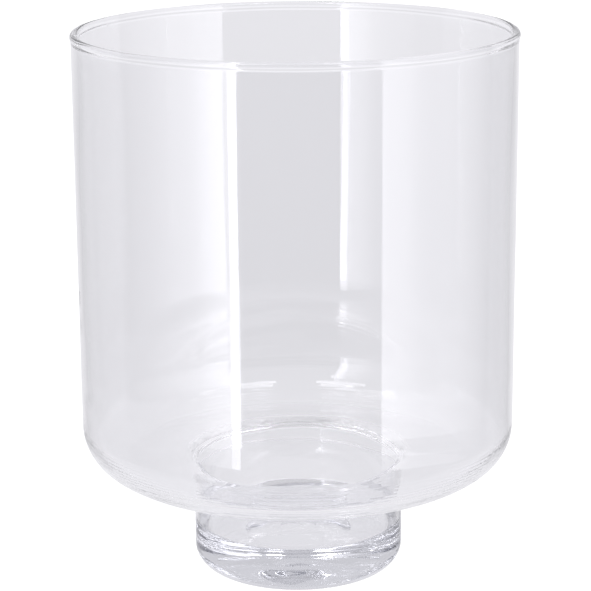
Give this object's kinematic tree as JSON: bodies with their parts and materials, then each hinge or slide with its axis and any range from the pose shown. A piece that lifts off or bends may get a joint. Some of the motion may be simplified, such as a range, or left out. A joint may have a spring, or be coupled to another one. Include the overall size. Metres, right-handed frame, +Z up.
{
  "type": "glass hurricane vase",
  "caption": "Clear blown-glass hurricane vase: a wide open cylindrical bowl on a short foot with a candle well and a thick solid base.",
  "frame": {"origin": "centre of the resting plane under the foot", "axes": "+Z up along the axis of revolution, from the foot to the lip; X and Y are equivalent"},
  "size_m": [0.201, 0.201, 0.252],
  "materials": {
    "clear_glass": "smooth, fire-polished, clear with a faint cool grey tint"
  },
  "bodies": {
    "root": {"bowl": "clear_glass", "foot": "clear_glass"}
  },
  "joints": []
}
